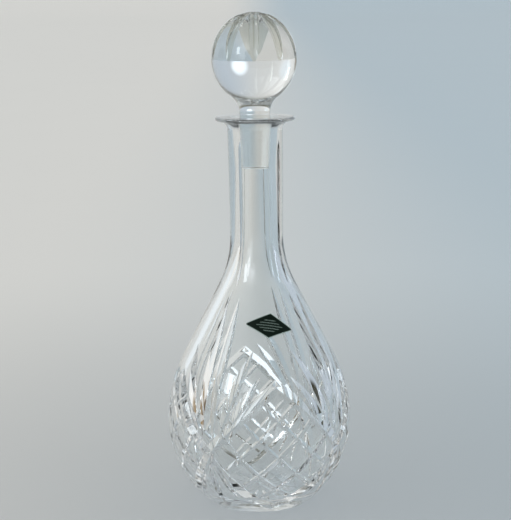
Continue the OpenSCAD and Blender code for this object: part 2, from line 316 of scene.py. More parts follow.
def volume(mesh):
    total = 0
    for face in mesh.polygons:
        a, *others = [mesh.vertices[i].co for i in face.vertices]
        for b, c in zip(others, others[1:]):
            total += a.dot(b.cross(c)) / 6
    return total


def printSize(obj):
    print("  " + obj.name, len(obj.data.polygons), "faces,", round(volume(obj.data) / mm ** 3, 1), "mm3")


lathe = latheTree()
roundAxis = roundAxisTree()


# ---- materials

def nodesOf(name):
    mat = bpy.data.materials.new(name)
    mat.use_nodes = True
    mat.node_tree.nodes.clear()
    return mat, mat.node_tree.nodes.new, mat.node_tree.links.new


# Handling marks: soft smears and fine dust that vary roughness, tint and height a little
def handling():
    tree = bpy.data.node_groups.new("handlingMarks", "ShaderNodeTree")
    newSockets(tree, [("Vector", "Vector"), ("Smear Scale", "Float"), ("Smear", "Float"), ("Polish", "Float"),
                      ("Clear", "Color"), ("Deep", "Color")])
    newSockets(tree, [("Color", "Color"), ("Roughness", "Float"), ("Height", "Float")], "OUTPUT")
    add, link = tree.nodes.new, tree.links.new
    given, out = add("NodeGroupInput"), add("NodeGroupOutput")
    smear = add("ShaderNodeTexNoise")
    smear.inputs["Detail"].default_value = 3
    link(given.outputs["Vector"], smear.inputs["Vector"])
    link(given.outputs["Smear Scale"], smear.inputs["Scale"])
    patches = add("ShaderNodeMapRange")
    patches.inputs["From Min"].default_value = 0.52
    patches.inputs["From Max"].default_value = 0.72
    link(smear.outputs["Fac"], patches.inputs["Value"])
    amount = add("ShaderNodeMath")
    amount.operation = "MULTIPLY_ADD"
    link(patches.outputs["Result"], amount.inputs[0])
    link(given.outputs["Smear"], amount.inputs[1])
    link(given.outputs["Polish"], amount.inputs[2])
    link(amount.outputs["Value"], out.inputs["Roughness"])
    tint = add("ShaderNodeMix")
    tint.data_type = "RGBA"
    link(smear.outputs["Fac"], tint.inputs["Factor"])
    link(given.outputs["Clear"], tint.inputs["A"])
    link(given.outputs["Deep"], tint.inputs["B"])
    link(tint.outputs["Result"], out.inputs["Color"])
    ripple = add("ShaderNodeTexNoise")
    ripple.inputs["Scale"].default_value = 90
    ripple.inputs["Detail"].default_value = 1
    link(given.outputs["Vector"], ripple.inputs["Vector"])
    link(ripple.outputs["Fac"], out.inputs["Height"])
    return tree


# Ground zone: 1 where a height lies between two limits inside a radius, as on a ground joint
def groundZone():
    tree = bpy.data.node_groups.new("groundZone", "ShaderNodeTree")
    newSockets(tree, [("Vector", "Vector"), ("Low", "Float"), ("High", "Float"), ("Radius", "Float")])
    newSockets(tree, [("Mask", "Float")], "OUTPUT")
    add, link = tree.nodes.new, tree.links.new
    given, out = add("NodeGroupInput"), add("NodeGroupOutput")
    split = add("ShaderNodeSeparateXYZ")
    link(given.outputs["Vector"], split.inputs["Vector"])
    flat = add("ShaderNodeCombineXYZ")
    link(split.outputs["X"], flat.inputs["X"])
    link(split.outputs["Y"], flat.inputs["Y"])
    radius = add("ShaderNodeVectorMath")
    radius.operation = "LENGTH"
    link(flat.outputs["Vector"], radius.inputs["Vector"])

    def compare(kind, a, b):
        node = add("ShaderNodeMath")
        node.operation = kind
        link(a, node.inputs[0])
        link(b, node.inputs[1])
        return node.outputs["Value"]
    above = compare("GREATER_THAN", split.outputs["Z"], given.outputs["Low"])
    below = compare("LESS_THAN", split.outputs["Z"], given.outputs["High"])
    inside = compare("LESS_THAN", radius.outputs["Value"], given.outputs["Radius"])
    link(compare("MULTIPLY", compare("MULTIPLY", above, below), inside), out.inputs["Mask"])
    return tree


marks, zone = handling(), groundZone()


def crystal(name, look, ground=None):
    mat, add, link = nodesOf(name)
    where = add("ShaderNodeTexCoord").outputs["Object"]
    worn = add("ShaderNodeGroup")
    worn.node_tree = marks
    link(where, worn.inputs["Vector"])
    for key in ("Smear Scale", "Smear", "Polish"):
        worn.inputs[key].default_value = look[key]
    worn.inputs["Clear"].default_value = (*look["Clear"], 1)
    worn.inputs["Deep"].default_value = (*look["Deep"], 1)
    glass = add("ShaderNodeBsdfPrincipled")
    glass.inputs["Transmission Weight"].default_value = 1
    glass.inputs["IOR"].default_value = look["ior"]
    link(worn.outputs["Color"], glass.inputs["Base Color"])
    rough = worn.outputs["Roughness"]
    if ground:
        joint = add("ShaderNodeGroup")
        joint.node_tree = zone
        link(where, joint.inputs["Vector"])
        for key in ("Low", "High", "Radius"):
            joint.inputs[key].default_value = ground[key] * mm
        grain = add("ShaderNodeTexNoise")
        grain.inputs["Scale"].default_value = ground["Grain"]
        link(where, grain.inputs["Vector"])
        frosted = add("ShaderNodeMapRange")
        frosted.inputs["To Min"].default_value = ground["Rough"] * 0.7
        frosted.inputs["To Max"].default_value = ground["Rough"] * 1.3
        link(grain.outputs["Fac"], frosted.inputs["Value"])
        mixed = add("ShaderNodeMix")
        link(joint.outputs["Mask"], mixed.inputs["Factor"])
        link(rough, mixed.inputs["A"])
        link(frosted.outputs["Result"], mixed.inputs["B"])
        rough = mixed.outputs["Result"]
    link(rough, glass.inputs["Roughness"])
    bump = add("ShaderNodeBump")
    bump.inputs["Strength"].default_value = look["ripple"]
    bump.inputs["Distance"].default_value = 0.0002
    link(worn.outputs["Height"], bump.inputs["Height"])
    link(bump.outputs["Normal"], glass.inputs["Normal"])
    # glass throws only a faint shadow, so the light that falls on paper and label passes it
    clear = add("ShaderNodeBsdfTransparent")
    clear.inputs["Color"].default_value = (*look["shadow"], 1)
    shade = add("ShaderNodeMixShader")
    rays = add("ShaderNodeLightPath")
    passing = add("ShaderNodeMath")
    passing.operation = "MAXIMUM"
    link(rays.outputs["Is Shadow Ray"], passing.inputs[0])
    link(rays.outputs["Is Diffuse Ray"], passing.inputs[1])
    link(passing.outputs["Value"], shade.inputs["Fac"])
    link(glass.outputs["BSDF"], shade.inputs[1])
    link(clear.outputs["BSDF"], shade.inputs[2])
    link(shade.outputs["Shader"], add("ShaderNodeOutputMaterial").inputs["Surface"])
    return mat


blownLook = {"Smear Scale": 28, "Smear": 0.03, "Polish": 0.004, "Clear": (0.985, 0.995, 0.99),
             "Deep": (0.96, 0.975, 0.975), "ior": 1.545, "ripple": 0.25, "shadow": (0.972, 0.978, 0.985)}
cutLook = {"Smear Scale": 60, "Smear": 0.02, "Polish": 0.002, "Clear": (0.99, 0.995, 0.99),
           "Deep": (0.965, 0.975, 0.97), "ior": 1.545, "ripple": 0.12, "shadow": (0.96, 0.97, 0.98)}


# ---- the bottle

bottle = {                     # millimetres and degrees
    "foot": 34, "belly": boxOf("decanter_body")[1][0], "bellyHeight": 59,
    "shoulder": 98, "lean": 27.5, "sweep": 75, "neck": 18.2, "flare": 0.6,
    "rimTop": boxOf("decanter_body")[1][2], "rim": 27.2, "rimThick": 2.6, "rimCurve": 6.5,
    "funnel": 9.8, "mouth": 10.78, "wall": 6.5, "floor": 11, "floorCorner": 9, "bore": 10.3,
    "socket": 10.6, "socketLong": 25, "taper": 10, "edge": 4, "mouthEdge": 0.9, "segments": 160,
    "sharp": 16, "groundShort": 0.5,
}


def bottleGeometry():
    b = bottle
    under = b["belly"] - b["foot"]
    lowRadius = (under ** 2 + b["bellyHeight"] ** 2) / (2 * under)
    low, up = (b["belly"] - lowRadius, b["bellyHeight"]), (b["belly"] - b["shoulder"], b["bellyHeight"])
    lean = b["lean"]

    def coneAt(inset):
        radius = b["shoulder"] - inset
        return (up[0] + radius * cosDeg(lean), up[1] + radius * sinDeg(lean))
    cone = coneAt(0)
    outer = sweepOf(*cone, b["sweep"], b["neck"], lean, -b["flare"])
    rimLow = b["rimTop"] - b["rimThick"]
    neckEnd = rimLow - b["rimCurve"]
    neckTop = (b["neck"] + (neckEnd - outer["to"][1]) * tanDeg(b["flare"]), neckEnd)
    socketTop = b["rimTop"] - b["funnel"]
    socketLow = socketTop - b["socketLong"]
    socketFoot = b["socket"] - b["socketLong"] / b["taper"] / 2
    boreLean = math.degrees(math.atan((b["bore"] - socketFoot) / (socketLow - outer["to"][1])))
    innerCone = coneAt(b["wall"])
    inner = sweepOf(*innerCone, b["sweep"] + b["wall"], b["bore"], lean, boreLean)
    return {"low": low, "up": up, "lowRadius": lowRadius, "cone": cone, "outer": outer, "rimLow": rimLow,
            "neckTop": neckTop, "socketTop": socketTop, "socketLow": socketLow, "socketFoot": socketFoot,
            "boreLean": boreLean, "innerCone": innerCone, "inner": inner}


geo = bottleGeometry()


def outsideParts():
    b, g = bottle, geo
    edge = (b["rim"] - b["rimThick"] / 2, g["rimLow"])
    start = math.degrees(math.atan2(-b["bellyHeight"], b["foot"] - g["low"][0]))
    return [line((0, 0), (b["foot"], 0)),
            arc(g["low"], g["lowRadius"], start, 0),
            arc(g["up"], b["shoulder"], 0, b["lean"]),
            line(g["cone"], g["outer"]["from"]),
            arc(g["outer"]["centre"], b["sweep"], 180 + b["lean"], 180 - b["flare"]),
            line(g["outer"]["to"], g["neckTop"]),
            arc((g["neckTop"][0] + b["rimCurve"], g["neckTop"][1]), b["rimCurve"], 180, 90),
            line((g["neckTop"][0] + b["rimCurve"], g["rimLow"]), edge),
            arc((edge[0], edge[1] + b["rimThick"] / 2), b["rimThick"] / 2, -90, 90)]


def bottleParts():
    b, g = bottle, geo
    outside = outsideParts()
    lip = b["rim"] - b["rimThick"] / 2
    wallRadius = g["lowRadius"] - b["wall"]
    cornerHeight = b["floor"] + b["floorCorner"]
    reach = wallRadius - b["floorCorner"]
    corner = (g["low"][0] + math.sqrt(reach ** 2 - (b["bellyHeight"] - cornerHeight) ** 2), cornerHeight)
    touch = math.degrees(math.atan2(corner[1] - g["low"][1], corner[0] - g["low"][0]))
    mouth = b["mouth"]
    opens = math.degrees(math.asin(b["funnel"] / mouth))
    funnel = arc((b["socket"] + mouth, g["socketTop"]), mouth, 180 - opens, 180)
    flat = line((lip, b["rimTop"]), pointOn(funnel, 0))
    socket = line((b["socket"], g["socketTop"]), (g["socketFoot"], g["socketLow"]))
    bore = line((g["socketFoot"], g["socketLow"]), g["inner"]["to"])
    inside = [flat, ease(flat, funnel, b["mouthEdge"]), funnel, socket, bore,
              arc(g["inner"]["centre"], g["inner"]["radius"], 180 + g["boreLean"], 180 + b["lean"]),
              line(g["inner"]["from"], g["innerCone"]),
              arc(g["up"], b["shoulder"] - b["wall"], b["lean"], 0),
              arc(g["low"], wallRadius, 0, touch),
              arc(corner, b["floorCorner"], touch, -90),
              line((corner[0], b["floor"]), (0, b["floor"]))]
    return [outside[0], ease(outside[0], outside[1], b["edge"])] + outside[1:] + inside


# ---- the cuts

cuts = {                       # millimetres and degrees
    "mitreHalf": 55, "proud": 1.6, "panels": 4, "cells": 4,
    "topGap": 11.5, "lowGap": 10.5, "lattice": 1.3, "frame": 2.9, "leaf": 2.7, "skirtLeaf": 2.2,
    "clear": 0.02,             # how far the ends of a cut stand off the skin
    "groove": 1.05, "grooveWheel": 20, "grooveFade": 16, "grooveStart": 2, "grooveEnd": 6, "grooveSteps": 60,
    "star": 1.1, "starRays": 16, "starFrom": 0.2, "starTo": 0.9, "starSteps": 12,
    # leaves on one side of a fan: azimuth and share of the way to the neck, at start and tip
    "fan": [[3.4, 0.07, 8.5, 0.96], [6.5, 0.08, 29.4, 0.635], [10, 0.085, 34.5, 0.47]],
    "skirt": [5, 0.12, 15.5, 0.62], "skirtMiddle": [0, 0.08, 0, 0.78],
}


def polar(r, a, z):
    return np.array([r * sinDeg(a), -r * cosDeg(a), z])


# Place at azimuth a and distance s over the glass, up from the widest ring, and the normal there
def overGlass(a, s):
    parts = outsideParts()
    part, t = parts[1], 1 + s / lengthOf(parts[1])
    if s >= 0:
        for part in parts[2:6]:
            t = s / lengthOf(part)
            if t <= 1:
                break
            s -= lengthOf(part)
    r, z = pointOn(part, t)
    out = normalOn(part, r, z)
    return polar(r, a, z), polar(out[0], a, out[1])


# Nearest place on the belly or shoulder to a point under the glass, and the normal there
def settled(p):
    g, b = geo, bottle
    r, a = math.hypot(p[0], p[1]), math.degrees(math.atan2(p[0], -p[1]))
    below = p[2] < b["bellyHeight"]
    centre, radius = (g["low"], g["lowRadius"]) if below else (g["up"], b["shoulder"])
    t = math.degrees(math.atan2(p[2] - centre[1], r - centre[0]))
    if below or t < b["lean"]:
        spot = (centre[0] + radius * cosDeg(t), centre[1] + radius * sinDeg(t))
    else:
        t = b["lean"]
        gap = (g["cone"][0] - r) * cosDeg(t) + (g["cone"][1] - p[2]) * sinDeg(t)
        spot = (r + gap * cosDeg(t), p[2] + gap * sinDeg(t))
    return polar(spot[0], a, spot[1]), polar(cosDeg(t), a, sinDeg(t))


# Root of a cut over the belly; depth is a function of the share of the way
def bellyRun(start, end, depth, steps=26):
    a, b = overGlass(*start)[0], overGlass(*end)[0]
    run = []
    for k in range(steps + 1):
        spot, out = settled(a + (b - a) * k / steps)
        run.append((spot - out * depth(k / steps), out))
    return run


def evenDepth(depth): return lambda t: depth


def leafDepth(depth): return lambda t: 4 * depth * t * (1 - t) - cuts["clear"]


def carveBottle(glass, cutFinish):
    b, c = bottle, cuts
    parts = outsideParts()
    coneEnd = lengthOf(parts[2])
    sweepStart = coneEnd + lengthOf(parts[3])
    footEnd = -lengthOf(parts[1])
    top, low = coneEnd - c["topGap"], footEnd + c["lowGap"]
    middle, high, half = (top + low) / 2, (top - low) / 2, 180 / c["panels"]

    def family(runs, section, count=c["panels"], first=0.0):
        blades = grown(blade(runs, section), roundAxis,
                       {"Count": count, "Step": 2 * math.pi / count, "First Turn": math.radians(first),
                        "Finish": cutFinish}, "blades")
        carve(glass, blades)

    for side in (-1, 1):
        family([bellyRun((side * half * (i / c["cells"] - 1), middle - high * i / c["cells"]),
                         (side * half * i / c["cells"], middle + high * (1 - i / c["cells"])),
                         evenDepth(c["lattice"])) for i in range(1, c["cells"])], mitre(c["lattice"]))
    overrun = c["frame"] * tanDeg(c["mitreHalf"]) * 0.8
    for apex in (top, low):
        rise = apex - middle
        run = overrun / math.hypot(math.radians(half) * b["belly"], rise)
        for side in (-1, 1):
            start = (side * half * (1 + run), middle - run * rise)
            end = (-side * half * run, apex + run * rise)
            family([bellyRun(start, end, evenDepth(c["frame"]))], mitre(c["frame"]))
    for leaves, way, depth in ((c["fan"], sweepStart - middle, c["leaf"]),
                               ([c["skirt"]], footEnd - middle, c["skirtLeaf"])):
        for a1, s1, a2, s2 in leaves:
            family([bellyRun((side * a1, middle + way * s1), (side * a2, middle + way * s2), leafDepth(depth))
                    for side in (-1, 1)], mitre(depth), first=half)
    a1, s1, a2, s2 = c["skirtMiddle"]
    way = footEnd - middle
    family([bellyRun((a1, middle + way * s1), (a2, middle + way * s2), leafDepth(c["skirtLeaf"]))],
           mitre(c["skirtLeaf"]), first=half)

    # grooves of the neck: they fade in on the sweep and end in the round of the wheel
    start = sweepStart + c["grooveStart"]
    end = sweepStart + lengthOf(parts[4]) + lengthOf(parts[5]) - c["grooveEnd"]
    runOut = math.sqrt(2 * c["grooveWheel"] * c["groove"])
    groove = []
    for k in range(c["grooveSteps"] + 1):
        s = start + (end - start) * k / c["grooveSteps"]
        depth = c["groove"] * min(1, (s - start) / c["grooveFade"]) ** 0.7
        depth = min(depth, c["groove"] - max(0, s - end + runOut) ** 2 / (2 * c["grooveWheel"]))
        spot, out = overGlass(0, s)
        groove.append((spot - out * (depth - c["clear"]), out))
    family([groove], mitre(c["groove"]), first=half)

    near, far, down = b["foot"] * c["starFrom"], b["foot"] * c["starTo"], np.array([0, 0, -1.0])
    ray = []
    for k in range(c["starSteps"] + 1):
        share = k / c["starSteps"]
        ray.append((np.array([0, -near - (far - near) * share, leafDepth(c["star"])(share)]), down))
    family([ray], mitre(c["star"]), count=c["starRays"])


print("bottle: turning and cutting")
ground = {"Low": geo["socketLow"], "High": geo["socketTop"] - bottle["groundShort"],
          "Radius": 12, "Grain": 4000, "Rough": 0.12}
bodyFinish = crystal("blownCrystal", blownLook, ground)
cutFinish = crystal("cutCrystal", cutLook)
glass = turned("decanterGlass", bottleParts(), bottle["segments"], bodyFinish)
printSize(glass)
carveBottle(glass, cutFinish)
setNormals(glass, bottleParts(), bottle["sharp"])
printSize(glass)
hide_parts("decanter_body")
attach(glass, "bottle")


# ---- the stopper

stopper = {                    # millimetres and degrees
    "gap": 0.05, "ball": 29, "ballExtra": 2.2, "collar": 3.1, "waist": 14.8, "waistHigh": 9.5,
    "flutes": 10, "turn": -11.7, "deep": 1.9, "wheel": 5.2, "from": 6, "to": 92, "steps": 36, "segments": 144,
    "sharp": 25, "groundLow": 1,
}


def stopperParts():
    s, g = stopper, geo
    peg = bottle["socket"] - s["gap"]
    pegFoot = peg - bottle["socketLong"] / bottle["taper"] / 2
    waistLow = bottle["rimTop"] + s["collar"]
    waistCurve = ((s["waist"] - peg) ** 2 + s["waistHigh"] ** 2) / (2 * (s["waist"] - peg))
    tall = s["ball"] + s["ballExtra"]
    endRadius = s["ball"] - 2
    endUp = tall - endRadius
    sideRadius = (s["ball"] ** 2 + endUp ** 2 - endRadius ** 2) / (2 * (s["ball"] - endRadius))
    middle = waistLow + s["waistHigh"] + endUp + math.sqrt(endRadius ** 2 - s["waist"] ** 2)
    meet = math.degrees(math.atan2(endUp, sideRadius - s["ball"]))
    opens = math.degrees(math.asin(s["waistHigh"] / waistCurve))
    join = math.degrees(math.acos(s["waist"] / endRadius))
    foot = line((0, g["socketLow"]), (pegFoot, g["socketLow"]))
    side = line((pegFoot, g["socketLow"]), (peg, g["socketTop"]))
    collar = line((peg, g["socketTop"]), (peg, waistLow))
    flareOut = arc((peg + waistCurve, waistLow), waistCurve, 180, 180 - opens)
    under = arc((0, middle - endUp), endRadius, -join, -meet)
    parts = [foot, ease(foot, side, 0.6), side, collar, flareOut, ease(flareOut, under, 0.8), under,
             arc((s["ball"] - sideRadius, middle), sideRadius, -meet, meet),
             arc((0, middle + endUp), endRadius, meet, 90)]
    return parts, middle, tall


def carveStopper(glass, finish):
    s = stopper
    middle, tall = stopperParts()[1:]
    run = []
    for k in range(s["steps"] + 1):
        share = k / s["steps"]
        t = s["from"] + (s["to"] - s["from"]) * share
        spot = np.array([0, -s["ball"] * sinDeg(t), middle + tall * cosDeg(t)])
        out = unit(np.array([0, -sinDeg(t) / s["ball"], cosDeg(t) / tall]))
        # a rounded run-in and run-out, a quarter deeper towards the top than in the middle
        depth = s["deep"] * (4 * share * (1 - share)) ** 0.8 * (1.25 - 0.5 * share)
        run.append((spot - out * (depth - cuts["clear"]), out))
    for k in range(s["flutes"] // 2):      # two opposite flutes at a time, so that no blades meet
        first = math.radians(s["turn"] + k * 360 / s["flutes"])
        blades = grown(blade([run], wheelSection(s["wheel"])), roundAxis,
                       {"Count": 2, "Step": math.pi, "First Turn": first, "Finish": finish}, "blades")
        carve(glass, blades)


print("stopper: turning and fluting")
pegGround = {**ground, "Low": geo["socketLow"] - stopper["groundLow"]}
stopperFinish = crystal("stopperCrystal", blownLook, pegGround)
# the flute faces are tinted dark olive: painted dark reflections, standing in for the dark room seen through
# the flute edges
fluteLookPaintedDark = {**cutLook, "Clear": (0.82, 0.83, 0.77), "Deep": (0.60, 0.60, 0.50)}
fluteFinishPaintedDark = crystal("fluteCrystalPaintedDark", fluteLookPaintedDark)
ball = turned("stopperGlass", stopperParts()[0], stopper["segments"], stopperFinish, 2.5, 3)
carveStopper(ball, fluteFinishPaintedDark)
setNormals(ball, stopperParts()[0], stopper["sharp"])
printSize(ball)
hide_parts("stopper")
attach(ball, "stopper")


# ---- the label

label = {                      # millimetres and degrees
    "long": 33.5, "wide": 17.5, "thick": 0.3, "off": 0.012, "corner": 1.2, "tilt": 11, "up": 27.5,
    "rings": 10, "cornerSteps": 5, "sideStep": 1.2, "settle": 20, "sharp": 40,
    # shares of the label's length or width
    "border": (0.03, 0.022), "rulePitch": 0.105, "ruleLine": 0.35, "ruleReach": 0.27, "ruleNarrow": 0.75,
    "dark": ((0.0015, 0.008, 0.005, 1), (0.003, 0.014, 0.009, 1)), "pale": (0.32, 0.42, 0.38, 1),
}


def lozengeOutline():
    half = [label["long"] / 2, label["wide"] / 2]
    slant = math.degrees(math.atan2(half[1], half[0]))
    r, steps = label["corner"], label["cornerSteps"]
    corners = [((half[0] - r / sinDeg(slant), 0), 90 - slant), ((0, half[1] - r / cosDeg(slant)), slant)]
    corners += [((-x, -y), turn) for (x, y), turn in corners]
    points = []
    for i, ((x, y), turn) in enumerate(corners):
        for k in range(-steps, steps + 1):
            a = i * 90 + k / steps * turn
            points.append((x + r * cosDeg(a), y + r * sinDeg(a)))
    edged = []
    for k, p in enumerate(points):         # extra points along the long straight sides
        q = points[(k + 1) % len(points)]
        n = max(1, round(math.dist(p, q) / label["sideStep"]))
        edged += [(p[0] + (q[0] - p[0]) * j / n, p[1] + (q[1] - p[1]) * j / n) for j in range(n)]
    return edged


def onShoulder(x, y, lift):
    lean, (coneR, coneZ) = bottle["lean"], geo["cone"]
    middle = np.array([0, -(coneR - label["up"] * tanDeg(lean)), coneZ + label["up"]])
    out, up = np.array([0, -cosDeg(lean), sinDeg(lean)]), np.array([0, sinDeg(lean), cosDeg(lean)])
    turn = -label["tilt"]
    across, along = x * cosDeg(turn) - y * sinDeg(turn), x * sinDeg(turn) + y * cosDeg(turn)
    p = middle + np.array([1.0, 0, 0]) * across + up * along
    for k in range(label["settle"]):
        gap = (coneR - math.hypot(p[0], p[1])) * cosDeg(lean) + (coneZ - p[2]) * sinDeg(lean) + lift
        p = p + out * gap
    return p


def makeLabel():
    outline, rings = lozengeOutline(), label["rings"]
    n = len(outline)
    verts, flat, faces = [], [], []
    for lift in (label["off"], label["thick"]):
        for k in range(rings):
            share = (k + 1) / rings
            for x, y in outline:
                verts.append(onShoulder(x * share, y * share, lift))
                flat.append((x * share, y * share))
        verts.append(onShoulder(0, 0, lift))
        flat.append((0, 0))
    side = rings * n + 1
    for base, way in ((0, -1), (side, 1)):
        hub = base + rings * n
        for j in range(n):
            i, q = base + j, base + (j + 1) % n
            faces.append((hub, i, q)[::way])
            faces += [(i + k * n, i + (k + 1) * n, q + (k + 1) * n, q + k * n)[::way]
                      for k in range(rings - 1)]
    rim = (rings - 1) * n
    faces += [(rim + j, rim + (j + 1) % n, side + rim + (j + 1) % n, side + rim + j) for j in range(n)]
    obj = meshObject("shoulderLabel", verts, [], faces)
    uv = obj.data.uv_layers.new(name="flatLabel")
    for loop in obj.data.loops:
        x, y = flat[loop.vertex_index]
        uv.data[loop.index].uv = (x / label["long"] + 0.5, y / label["wide"] + 0.5)
    obj.data.shade_smooth()
    obj.data.set_sharp_from_angle(angle=math.radians(label["sharp"]))
    return obj


def labelFinish():
    mat, add, link = nodesOf("labelFilm")

    def sums(kind, *values):
        node = add("ShaderNodeMath")
        node.operation = kind
        for socket, value in zip(node.inputs, values):
            if isinstance(value, (int, float)):
                socket.default_value = value
            else:
                link(value, socket)
        return node.outputs["Value"]

    def ramp(value, low, high, a=0, b=1):
        node = add("ShaderNodeMapRange")
        for key, v in (("From Min", low), ("From Max", high), ("To Min", a), ("To Max", b)):
            node.inputs[key].default_value = v
        link(value, node.inputs["Value"])
        return node.outputs["Result"]
    uv = add("ShaderNodeUVMap")
    uv.uv_map = "flatLabel"
    split = add("ShaderNodeSeparateXYZ")
    link(uv.outputs["UV"], split.inputs["Vector"])
    x, y = sums("SUBTRACT", split.outputs["X"], 0.5), sums("SUBTRACT", split.outputs["Y"], 0.5)
    ax, ay = sums("ABSOLUTE", x), sums("ABSOLUTE", y)
    inset = sums("SUBTRACT", 0.5, sums("ADD", ax, ay))      # 0 on the edge, 0.5 in the middle
    border = ramp(inset, *label["border"])
    # plain rules across the middle, shorter towards the top and bottom
    wave = sums("COSINE", sums("MULTIPLY", y, 2 * math.pi / label["rulePitch"]))
    rows = sums("GREATER_THAN", wave, label["ruleLine"])
    taper = sums("ADD", ax, sums("MULTIPLY", ay, label["ruleNarrow"]))
    reach = sums("LESS_THAN", taper, label["ruleReach"])
    band = sums("LESS_THAN", ay, label["ruleReach"])
    speck = add("ShaderNodeTexNoise")
    speck.inputs["Scale"].default_value = 70
    link(uv.outputs["UV"], speck.inputs["Vector"])
    printed = ramp(speck.outputs["Fac"], 0.42, 0.62, 0.1, 0.8)      # patchy, as worn print is
    ink = sums("MULTIPLY", sums("MULTIPLY", rows, reach), sums("MULTIPLY", band, printed))
    grain = add("ShaderNodeTexNoise")
    grain.inputs["Scale"].default_value = 700
    link(add("ShaderNodeTexCoord").outputs["Object"], grain.inputs["Vector"])
    base = add("ShaderNodeMix")
    base.data_type = "RGBA"
    base.inputs["A"].default_value, base.inputs["B"].default_value = label["dark"]
    link(grain.outputs["Fac"], base.inputs["Factor"])
    shown = add("ShaderNodeMix")
    shown.data_type = "RGBA"
    shown.inputs["B"].default_value = label["pale"]
    link(sums("MAXIMUM", border, ink), shown.inputs["Factor"])
    link(base.outputs["Result"], shown.inputs["A"])
    film = add("ShaderNodeBsdfPrincipled")
    film.inputs["Coat Weight"].default_value = 0.1
    film.inputs["Coat Roughness"].default_value = 0.12
    link(shown.outputs["Result"], film.inputs["Base Color"])
    film.inputs["Specular IOR Level"].default_value = 0.12
    link(ramp(grain.outputs["Fac"], 0.3, 0.7, 0.4, 0.55), film.inputs["Roughness"])
    bump = add("ShaderNodeBump")
    bump.inputs["Strength"].default_value = 0.2
    bump.inputs["Distance"].default_value = 0.00005
    link(sums("MAXIMUM", border, ink), bump.inputs["Height"])
    link(bump.outputs["Normal"], film.inputs["Normal"])
    link(film.outputs["BSDF"], add("ShaderNodeOutputMaterial").inputs["Surface"])
    return mat


print("label")
film = makeLabel()
film.data.materials.append(labelFinish())
printSize(film)
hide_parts("label")
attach(film, "bottle")


# ---- stage, light and camera

studio = {                     # metres
    "flat": 16.0, "bend": 2.0, "rise": 0.3, "rings": 60, "spokes": 96,
    # painted shade: the paper is darker near the bottle and lightens over the given reach
    "paperNearPaintedShade": (0.59, 0.605, 0.62, 1), "paperFar": (0.86, 0.86, 0.86, 1), "paintedShadeReach": (-0.25, 1.0),
    "skylight": (0.72, 0.73, 0.72),
    # painted light and shade: the paper is warmer and lighter on the left and cooler and darker on the right
    "paperLeftPaintedLight": (1.0, 0.99, 0.965, 1), "paperRightPaintedShade": (0.66, 0.78, 0.87, 1),
    "paintedSideLightSpan": (-0.35, 0.5), "paperTurn": -11.6,
    "room": [{"colour": (0.66, 0.675, 0.67)},
             {"towards": (-1, 0.2, 0.4), "edge": 80, "full": 20, "colour": (0.92, 0.92, 0.90)},
             {"towards": (1, 0.3, 0.2), "edge": 70, "full": 20, "colour": (0.50, 0.57, 0.64)},
             {"towards": (0.1, -0.15, 1), "edge": 52, "full": 26, "colour": (0.13, 0.125, 0.09)},
             {"towards": (0.25, -1, 0.1), "edge": 50, "full": 22, "colour": (0.06, 0.05, 0.03)},
             {"towards": (1, -0.35, 0.05), "edge": 24, "full": 17, "colour": (0.05, 0.05, 0.035)},
             {"towards": (-1, -0.12, 0.0), "edge": 20, "full": 14, "colour": (0.16, 0.11, 0.06)},
             {"towards": (-1, 0.4, 0.1), "edge": 15, "full": 8, "colour": (0.30, 0.20, 0.09)},
             {"towards": (0.75, 1.5, 0.12), "edge": 11, "full": 2, "colour": (1.15, 1.26, 1.35)},
             {"towards": (-0.8, 1.5, 0.3), "edge": 15, "full": 2, "colour": (0.84, 0.90, 0.94)},
             {"towards": (-0.7, -0.9, 0.35), "edge": 24, "full": 12, "colour": (2.2, 2.3, 2.4)}],
    # dark sheets that paint dark reflections into the glass
    "cards": [{"name": "roomDark", "colour": (0.07, 0.055, 0.035),
               "corners": [(-1.6, -2.2, 0.002), (1.9, -2.2, 0.002), (1.9, -2.2, 1.2), (-1.6, -2.2, 1.2)]},
              {"name": "tableDark", "colour": (0.12, 0.10, 0.075),
               "corners": [(-1.3, -2.2, 0.003), (1.6, -2.2, 0.003),
                           (1.1, -0.75, 0.003), (-0.6, -0.75, 0.003)]}],
    "lights": [{"name": "windowLight", "at": (-1.1, -0.75, 0.75), "towards": (0, 0, 0.15),
                "size": (0.22, 0.42), "watts": 2.2, "colour": (0.85, 0.94, 1)},
               {"name": "coolFill", "at": (1.3, -0.5, 0.5), "towards": (0, 0, 0.15),
                "size": (0.12, 0.6), "watts": 1.6, "colour": (0.75, 0.88, 1)},
               {"name": "topGlow", "at": (-0.5, 0.3, 1.5), "towards": (0, 0, 0.2),
                "size": (0.3, 0.2), "watts": 1.0, "colour": (1, 1, 1)}],
}


# Dark card: a dim glowing sheet seen only by the glass, which paints dark reflections into it as the dark
# side of a room would
def darkCard(card):
    obj = meshObject(card["name"], card["corners"], [], [(0, 1, 2, 3)], 1)
    mat, add, link = nodesOf(card["name"] + "Cloth")
    # patchy tone of the painted dark reflection
    darkPatchNoise = add("ShaderNodeTexNoise")
    darkPatchNoise.inputs["Scale"].default_value = 6
    link(add("ShaderNodeTexCoord").outputs["Object"], darkPatchNoise.inputs["Vector"])
    tone = add("ShaderNodeMix")
    tone.data_type = "RGBA"
    for key, share in (("A", 0.6), ("B", 1.4)):
        tone.inputs[key].default_value = (*[c * share for c in card["colour"]], 1)
    link(darkPatchNoise.outputs["Fac"], tone.inputs["Factor"])
    paintedDarkGlow = add("ShaderNodeEmission")
    link(tone.outputs["Result"], paintedDarkGlow.inputs["Color"])
    link(paintedDarkGlow.outputs["Emission"], add("ShaderNodeOutputMaterial").inputs["Surface"])
    obj.data.materials.append(mat)
    obj.visible_camera = obj.visible_diffuse = obj.visible_shadow = False


